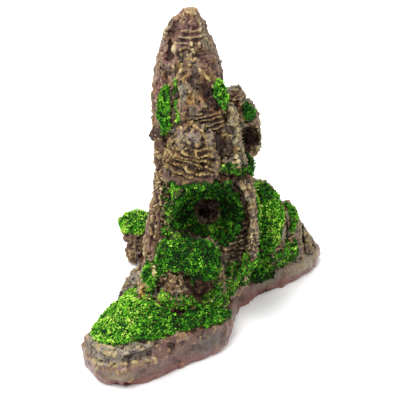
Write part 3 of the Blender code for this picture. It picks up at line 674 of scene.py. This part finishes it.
def turf_material():
    """Dyed foam crumbs: matt, and each of one colour, which also holds painted shade and highlights."""
    made = bpy.data.materials.new("green_foam_turf")
    made.use_nodes = True
    tree = made.node_tree
    shader = tree.nodes["Principled BSDF"]
    dye_and_painted_light = add(tree, "ShaderNodeAttribute", attribute_name="dye_and_painted_light").outputs["Color"]
    place = add(tree, "ShaderNodeTexCoord").outputs["Object"]
    fleck = add(tree, "ShaderNodeTexNoise", {
        "Vector": place, "Scale": 1 / (0.6 * MM), "Detail": 2}).outputs["Fac"]
    shade = add(tree, "ShaderNodeMapRange", {
        "Value": fleck, "From Min": 0.3, "From Max": 0.7, "To Min": 0.75, "To Max": 1.25}).outputs["Result"]
    colour = add(tree, "ShaderNodeVectorMath", {
        0: dye_and_painted_light, "Scale": shade}, operation="SCALE").outputs["Vector"]
    tree.links.new(colour, shader.inputs["Base Color"])
    bump = add(tree, "ShaderNodeBump", {"Height": fleck, "Strength": 0.5, "Distance": 0.2 * MM})
    tree.links.new(bump.outputs["Normal"], shader.inputs["Normal"])
    shader.inputs["Roughness"].default_value = 0.85
    shader.inputs["Specular IOR Level"].default_value = 0.15
    return made


def crumb_shape(seed):
    """A foam crumb, one across: a grain of eight or ten sides with its corners moved about."""
    crumb = bmesh.new()
    bmesh.ops.create_uvsphere(crumb, u_segments=4 + seed % 2, v_segments=2, radius=0.5)
    bmesh.ops.triangulate(crumb, faces=crumb.faces)
    crumb.verts.index_update()
    corners = np.array([v.co[:] for v in crumb.verts])
    corners += 0.13 * np.random.default_rng(seed).normal(size=corners.shape)
    sides = np.array([[v.index for v in f.verts] for f in crumb.faces])
    crumb.free()
    return corners, sides


foam_turf = turf_material()
CRUMBS = [crumb_shape(seed) for seed in range(6)]


def seats_on_rocks(rocks, bed, bed_points, patches, bare, reach, pile, seed, chance):
    """Where crumbs lie on the rocks: near the bed or on a patch, with ragged edges where they thin out.

    It gives each seat, the way up from it, and how high the crumbs may pile there.
    """
    bed_tree = BVHTree.FromPolygons(bed_points.tolist(), [tuple(f.vertices) for f in bed.polygons])
    places = np.concatenate([bed_points] + [np.array(path, float) for path, _ in patches])
    low = places.min(axis=0) - SEARCH_MARGIN
    high = places.max(axis=0) + SEARCH_MARGIN
    found = []
    for rock in (ROCKS[r] for r in rocks):
        chosen = np.nonzero(((rock.points > low) & (rock.points < high)).all(axis=1))[0]
        close = rock.points[chosen]
        away = np.array([bed_tree.find_nearest(p)[3] for p in close.tolist()])
        cover = 1 - 0.6 * np.clip(away / reach, 0, 3)
        for path, width in patches:
            cover = np.maximum(cover, along(close, path, width))
        cover = cover + 0.3 * lumps(close, 3.5, seed + 0.2, 2)
        for path, width in bare:
            cover = cover - 1.2 * along(close, path, width)
        kept = (smooth(0.3, 0.55, cover) > chance.random(len(close))) & (chance.random(len(close)) < 0.7)
        ways = rock.evened(rock.normals, 6)[chosen][kept]
        found.append((close[kept], ways, pile * smooth(0.3, 1.0, cover[kept])))
    return found


def crumb_dyes_and_painted_light(seats, rise, light, highlight_and_tint_paths, seed, chance):
    """A colour for each crumb. Low ones are darker, partly dye and partly painted shade in the gaps between
    clumps, and the mix drifts from patch to patch.
    """
    tone = light + 0.2 * lumps(seats, 9, seed + 0.6, 2) + 0.2 * lumps(seats, 2.8, seed + 0.8, 2)
    # Lower crumbs are darker: partly dye, and partly painted shade in the gaps between clumps.
    tone = tone + 0.65 * (rise - 0.34) + 0.1 * chance.normal(size=len(seats))
    # Painted light: near a path whose amount is above 0 the crumbs are lighter, a painted highlight; below 0
    # darker.
    for path, width, amount in highlight_and_tint_paths:
        tone = tone + amount * along(seats, path, width)
    step = np.clip(tone, 0, 1) * (len(GREENS) - 1)
    greens = np.array([linear(g) for g in GREENS])
    dyes_and_painted_light = np.stack([np.interp(step, range(len(GREENS)), g) for g in greens.T], axis=1)
    odd = chance.random(len(seats))
    dyes_and_painted_light[odd < 0.02] = linear("#8a7a3a")
    dyes_and_painted_light[odd > 0.95] = linear("#0f4522")
    return dyes_and_painted_light * (0.75 + 0.5 * chance.random((len(seats), 1)))


def turf_pad(name, rocks, seed, light, patches=(), bare=(), highlight_and_tint_paths=(), reach=2.0, pile=2.0):
    """A pad's bed and its crumbs.

    light says how far along GREENS the mix is, and the highlight and tint paths add to it near themselves:
    above 0 as a painted highlight, and below 0 making the turf darker. patches are paths that the crumbs
    also cover, and bare ones are left clear, each with its width.
    """
    chance = np.random.default_rng(seed)
    bed = casting_mesh(name, BED_FINENESS, 8)
    bed_points = read_points(bed) / MM
    bed_normals = read_points(bed, "vertex_normals", "vector")
    bed_points = bed_points + bed_normals * (0.7 * lumps(bed_points, 5, seed) - BED_SINK)[:, None]
    for path, width in bare:
        bed_points = bed_points - bed_normals * (BARE_SINK * along(bed_points, path, width))[:, None]

    found = seats_on_rocks(rocks, bed, bed_points, patches, bare, reach, pile, seed, chance)
    kept = chance.random(len(bed_points)) < 0.95
    for path, width in bare:
        kept &= along(bed_points, path, width) < 0.5
    found.append((bed_points[kept], bed_normals[kept], np.full(kept.sum(), 0.6 * pile)))
    seats, ways, heights = (np.concatenate(column) for column in zip(*found))
    clump = smooth(-0.4, 0.45, lumps(seats, 2.8, seed + 0.4, 2))
    rise = heights * clump * (0.35 + 0.65 * chance.random(len(seats)))
    seats = seats + ways * (0.1 + rise)[:, None] + 0.22 * chance.normal(size=seats.shape)
    dyes_and_painted_light = crumb_dyes_and_painted_light(seats, rise / pile, light, highlight_and_tint_paths, seed, chance)

    # Each crumb is one of the shapes, turned at random and squashed a little.
    turns = np.linalg.qr(chance.normal(size=(len(seats), 3, 3)))[0]
    sizes = CRUMB_SIZE * (0.55 + 0.6 * chance.random((len(seats), 1)))
    sizes = sizes * (0.55 + 0.8 * chance.random((len(seats), 3)))
    kinds = chance.integers(0, len(CRUMBS), len(seats))
    points = [bed_points]
    faces = [[tuple(f.vertices) for f in bed.polygons]]
    # Painted shade: the bed is coloured near black green, for the shade in the gaps between the crumbs.
    colours = [np.tile(linear("#0a1a05"), (len(bed_points), 1))]
    start = len(bed_points)
    for kind, (corners, sides) in enumerate(CRUMBS):
        mine = kinds == kind
        placed = np.einsum("nij,kj->nki", turns[mine] * sizes[mine][:, None, :], corners)
        points.append((placed + seats[mine][:, None, :]).reshape(-1, 3))
        offsets = start + len(corners) * np.arange(mine.sum())
        faces.append((sides[None] + offsets[:, None, None]).reshape(-1, 3).tolist())
        colours.append(np.repeat(dyes_and_painted_light[mine], len(corners), axis=0))
        start += mine.sum() * len(corners)
    points = np.concatenate(points)
    points[:, 2] = np.maximum(points[:, 2], 0.05)
    mesh = bpy.data.meshes.new(name + "_crumbs")
    mesh.from_pydata((points * MM).tolist(), [], sum(faces, []))
    colours = np.concatenate([np.concatenate(colours), np.ones((len(points), 1))], axis=1)
    stored = mesh.attributes.new("dye_and_painted_light", "FLOAT_COLOR", "POINT")
    stored.data.foreach_set("color", colours.astype(np.float32).ravel())
    mesh.materials.append(foam_turf)
    piece = bpy.data.objects.new(name + "_pad", mesh)
    bpy.context.scene.collection.objects.link(piece)
    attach(piece, "root")
    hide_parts(name)


# Highlight and tint paths above 0 are painted light: painted highlights on the turf. Those below 0 make it
# darker, and the thin one along the tongue marks a bare brown rib.
turf_pad("tongue_turf", ["base_slab", "main_crag", "left_lump", "buttress", "alcove_rock"], 81, 0.66,
         patches=[([(0, -30, 17), (8, -22, 16), (12, -15, 18)], 8), ([(-34, -8, 18), (-28, -22, 20)], 8),
                  ([(-21, -27, 25), (-12, -30, 23.5), (-5, -27, 23), (3, -22, 21)], 6)],
         bare=[([(-14.1, -29.6, 17.6)], 4.0)],
         highlight_and_tint_paths=[([(-48, -46, 20), (-38, -24, 20)], 16, 0.1), ([(-14, -34, 19), (4, -28, 18)], 14, -0.2),
                ([(-32.5, -12, 20), (-34.5, -30, 20.5)], 2.2, -0.12)])
turf_pad("buttress_turf", ["buttress", "main_crag", "base_slab", "left_step"], 83, 0.46,
         patches=[([(-22, -12, 48), (-23, -18, 42)], 7), ([(1, -25, 41), (3, -24.5, 27), (3, -23, 20)], 7)],
         bare=[([(-4, -19, 29)], 4), ([(7, -18, 49), (8.5, -21, 39), (9.5, -19, 30)], 3.5),
               ([(-17, -26, 38), (-8, -28, 37), (-4, -27, 35)], 3)],
         highlight_and_tint_paths=[([(-24, -20, 36), (-20, -22, 44)], 8, 0.12)])
turf_pad("grotto_turf", ["main_crag", "buttress", "ribbed_boulder"], 93, 0.38,
         patches=[([(-18, -8, 72), (-19, -8, 60), (-19, -10, 51), (-13, -9, 47), (-5, -9, 45),
                    (3, -9, 44)], 8),
                  ([(-4, 5, 62), (3, 5, 62), (3, 5, 56), (-4, 5, 57)], 5),
                  ([(-16, -15, 78.5), (-10, -17, 79), (-3, -17, 79), (3, -15, 79), (9, -10, 76)], 4.5)],
         bare=[([(-0.8, 0, 59), (-0.8, 6, 59)], 2.2)], reach=1.8)
turf_pad("step_turf", ["left_step", "base_slab", "buttress"], 84, 0.52,
         patches=[([(-25, -20, 37), (-28, -25, 28), (-30, -28, 21)], 6)], reach=1.4)
turf_pad("slope_turf",
         ["right_slope", "base_slab", "main_crag", "lower_terrace", "right_fin", "upper_terrace"], 82, 0.46,
         patches=[([(40, 23, 17), (33, 13, 17), (26.5, 8, 20), (18, -3, 22), (13, -10, 24),
                    (8, -15, 20)], 10),
                  ([(9, -14, 24), (14, -13, 31), (19, -15, 36), (23, -10, 36), (26, -2, 32)], 9)])
turf_pad("upper_terrace_turf", ["upper_terrace", "right_fin", "main_crag", "right_slope"], 85, 0.58,
         patches=[([(21, -2, 70), (24, -6, 58), (24.5, -8, 46)], 6),
                  ([(26, 12, 52), (30, 10, 40), (27, 3, 32)], 10)],
         bare=[([(22, 8, 56), (25, 10, 54)], 3)], highlight_and_tint_paths=[([(33, 20, 46), (33, 12, 36)], 9, 0.14)])
turf_pad("lower_terrace_turf", ["lower_terrace", "upper_terrace"], 86, 0.58, pile=1.5)
turf_pad("brow_turf", ["main_crag", "right_fin", "right_shoulder", "ribbed_boulder"], 87, 0.4,
         patches=[([(8, -12, 86), (13, -8, 84), (17, -2, 79), (20, 6, 72)], 5)],
         highlight_and_tint_paths=[([(6, -14, 86)], 4, 0.3)])
turf_pad("ledge_turf", ["left_ledge"], 88, 0.72, highlight_and_tint_paths=[([(-38, 34, 27)], 8, 0.1)])
turf_pad("spire_turf", ["tall_spire", "middle_crag", "main_crag"], 89, 0.68,
         patches=[([(-14.5, 3, 123), (-15.3, 2.5, 116)], 2.6), ([(-14.8, 0.5, 112), (-13.5, -1, 105)], 4.4),
                  ([(-24.8, 3, 104), (-24.4, 2.8, 101)], 3)],
         bare=[([(-22, -2, 97), (-14, -4, 96)], 3.2)], reach=1.0, pile=1.5)
turf_pad("crag_turf", ["middle_crag", "tall_spire"], 90, 0.62, bare=[([(2, -5, 116), (6, -6, 106)], 3.6)],
         reach=0.8, pile=1.2)
turf_pad("outcrop_turf", ["side_outcrop"], 91, 0.4,
         patches=[([(13.5, 17, 86), (16, 20, 84)], 3), ([(14, 13, 74), (15, 14, 71)], 3)],
         reach=1.0, pile=1.3)
turf_pad("rear_turf", ["rear_step", "main_crag"], 92, 0.52)

# --------------------------------------------------------------------------------------------------
# Floor and light: a sweep of white paper under two square lamps, one from above left in front, and one from
# above behind, with white all round.

FLOOR_REACH = 3.0

floor_mesh = bpy.data.meshes.new("floor")
sheet = bmesh.new()
bmesh.ops.create_grid(sheet, x_segments=1, y_segments=1, size=FLOOR_REACH)
sheet.to_mesh(floor_mesh)
sheet.free()
floor = bpy.data.objects.new("floor", floor_mesh)
bpy.context.scene.collection.objects.link(floor)
white = bpy.data.materials.new("white_sweep")
white.use_nodes = True
paper = white.node_tree.nodes["Principled BSDF"]
paper.inputs["Base Color"].default_value = (0.9, 0.9, 0.9, 1)
paper.inputs["Roughness"].default_value = 0.9
paper.inputs["Emission Color"].default_value = (1, 1, 1, 1)
paper.inputs["Emission Strength"].default_value = 0.12
floor_mesh.materials.append(white)

world = bpy.data.worlds.new("fill")
world.use_nodes = True
sky = world.node_tree.nodes["Background"]
sky.inputs["Color"].default_value = (1, 1, 1, 1)
sky.inputs["Strength"].default_value = 0.9
bpy.context.scene.world = world


def soft_lamp(name, place, size, power):
    """A square lamp, in metres and watts, that faces the ornament."""
    lamp = bpy.data.lights.new(name, "AREA")
    lamp.size = size
    lamp.energy = power
    made = bpy.data.objects.new(name, lamp)
    bpy.context.scene.collection.objects.link(made)
    made.location = place
    made.rotation_euler = (AIM - Vector(place)).to_track_quat("-Z", "Y").to_euler()


soft_lamp("key", (-0.25, -0.2, 0.7), 0.4, 5)
soft_lamp("back", (0.0, 0.5, 0.6), 0.4, 3)

bpy.context.scene.view_settings.view_transform = "Standard"
